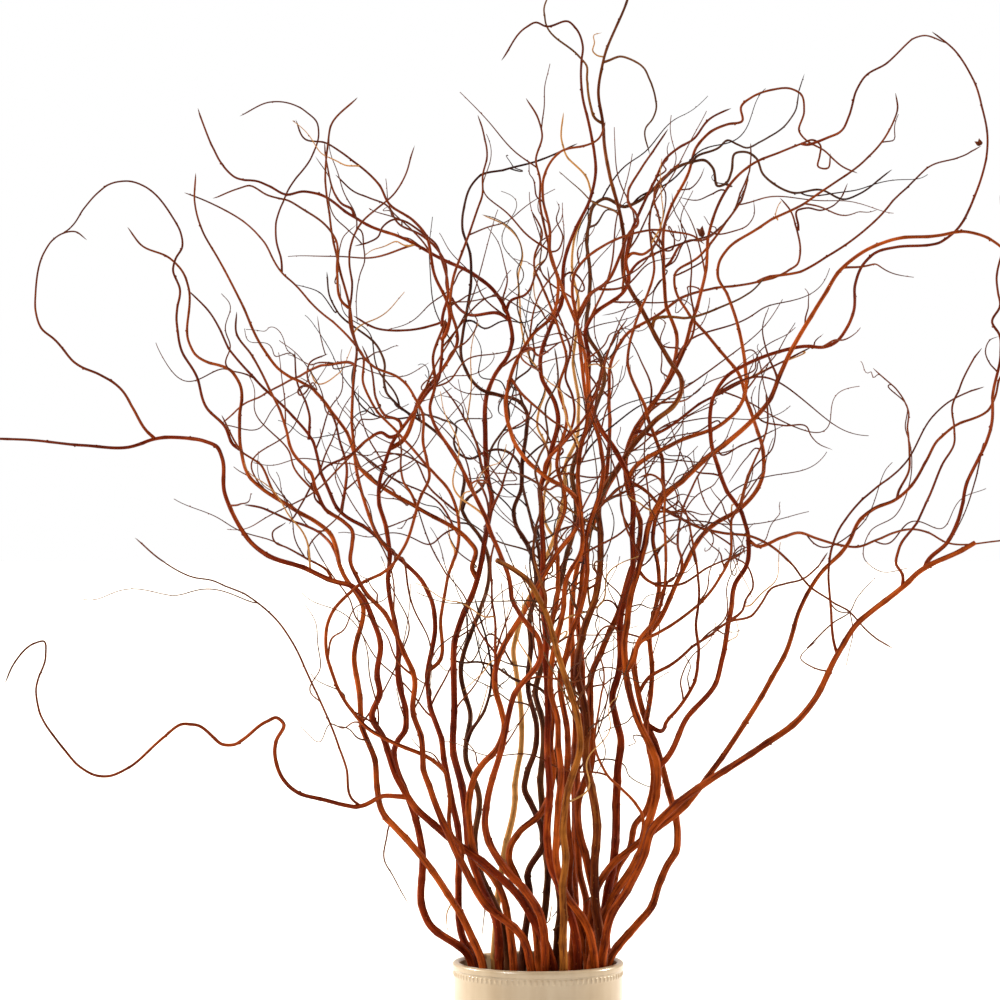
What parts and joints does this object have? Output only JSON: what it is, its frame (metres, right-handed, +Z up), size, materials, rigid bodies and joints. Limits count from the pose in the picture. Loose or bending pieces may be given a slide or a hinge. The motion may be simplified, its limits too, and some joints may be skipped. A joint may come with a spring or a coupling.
{
  "type": "curly willow stems in a vase",
  "caption": "Bundle of curly willow stems with fine twisting side branches, standing in a straight-sided glazed ceramic vase with a beaded lip.",
  "frame": {"origin": "centre of the vase's flat underside, where it stands", "axes": "+Z up along the vase's axis, -Y towards the viewer at the front, +X to the viewer's right"},
  "size_m": [1.2262, 0.688, 1.3337],
  "materials": {
    "cream_glaze": "smooth cream glaze",
    "russet_bark": "smooth red-brown bark with a satin sheen",
    "dark_bark": "smooth dark brown bark",
    "olive_bark": "smooth olive-brown bark"
  },
  "bodies": {
    "root": {"vase": "cream_glaze", "left_low_sweep_stem": "russet_bark", "left_upright_stem": "russet_bark", "left_arching_stem": "russet_bark", "left_diagonal_stem": "russet_bark", "front_crossing_stem": "russet_bark", "centre_knotted_stem": "russet_bark", "front_leaning_stem": "russet_bark", "centre_left_stem": "russet_bark", "centre_looping_stem": "dark_bark", "middle_tall_stem": "russet_bark", "middle_winding_stem": "russet_bark", "middle_bent_stem": "dark_bark", "middle_twin_stem": "russet_bark", "middle_arching_stem": "russet_bark", "front_cut_stem": "olive_bark", "tall_leader_stem": "olive_bark", "right_trunk_stem": "russet_bark", "right_arm_stem": "russet_bark", "right_reaching_stem": "russet_bark", "right_rising_stem": "russet_bark", "right_bowed_stem": "russet_bark", "right_looped_stem": "russet_bark", "right_inner_stem": "russet_bark", "right_forked_stem": "russet_bark", "centre_far_stem": "dark_bark", "far_crown_stem": "russet_bark", "far_yellow_stem": "olive_bark", "far_left_stem": "dark_bark"}
  },
  "joints": []
}
